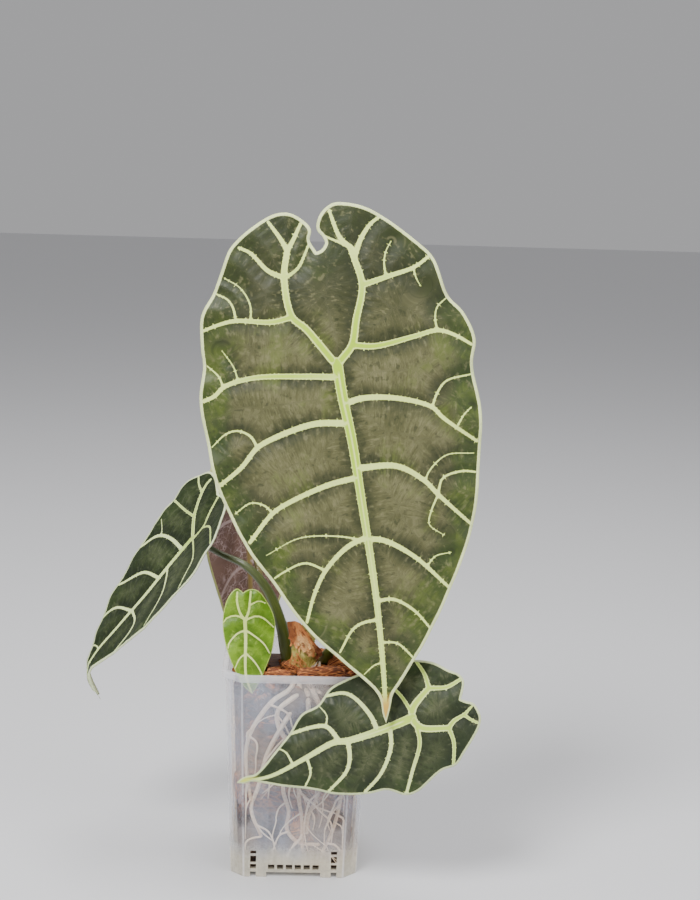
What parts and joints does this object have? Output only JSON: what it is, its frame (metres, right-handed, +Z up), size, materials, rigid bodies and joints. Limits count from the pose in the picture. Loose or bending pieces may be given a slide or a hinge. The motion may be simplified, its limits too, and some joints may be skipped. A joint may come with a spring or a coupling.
{
  "type": "potted alocasia watsoniana",
  "caption": "Upright aroid house plant with hanging arrow-shaped leaves, pale raised veins and long stalks, rooted in husk mix in a clear square nursery pot.",
  "frame": {"origin": "on the surface that the pot stands on, under the middle of the whole plant's outline", "axes": "+Z up; -Y towards the side that the largest leaf's upper face looks to; +X to the right as seen from that side"},
  "size_m": [0.1864, 0.1132, 0.3172],
  "materials": {
    "pot": "clear, slightly milky, with water drops",
    "mix": "rough coconut husk chips with netted fibres",
    "rhizome": "matt, ringed, with thick pale pink roots",
    "sheath": "dry, papery, torn",
    "stalk": "smooth, waxy",
    "dark_blade": "satin, quilted, with cream veins and margin",
    "purple_blade": "satin underside, pink veins",
    "young_blade": "satin, bright, with pale veins and margin"
  },
  "bodies": {
    "root": {"pot": "pot", "potting_mix": "mix", "rhizome_and_roots": "rhizome", "dry_sheath": "sheath", "stalk_front": "stalk", "stalk_left": "stalk", "stalk_back": "stalk", "stalk_right": "stalk", "stalk_small": "stalk", "blade_front": "dark_blade", "blade_right": "dark_blade", "blade_left": "dark_blade", "blade_back": "purple_blade", "blade_small": "young_blade"}
  },
  "joints": []
}
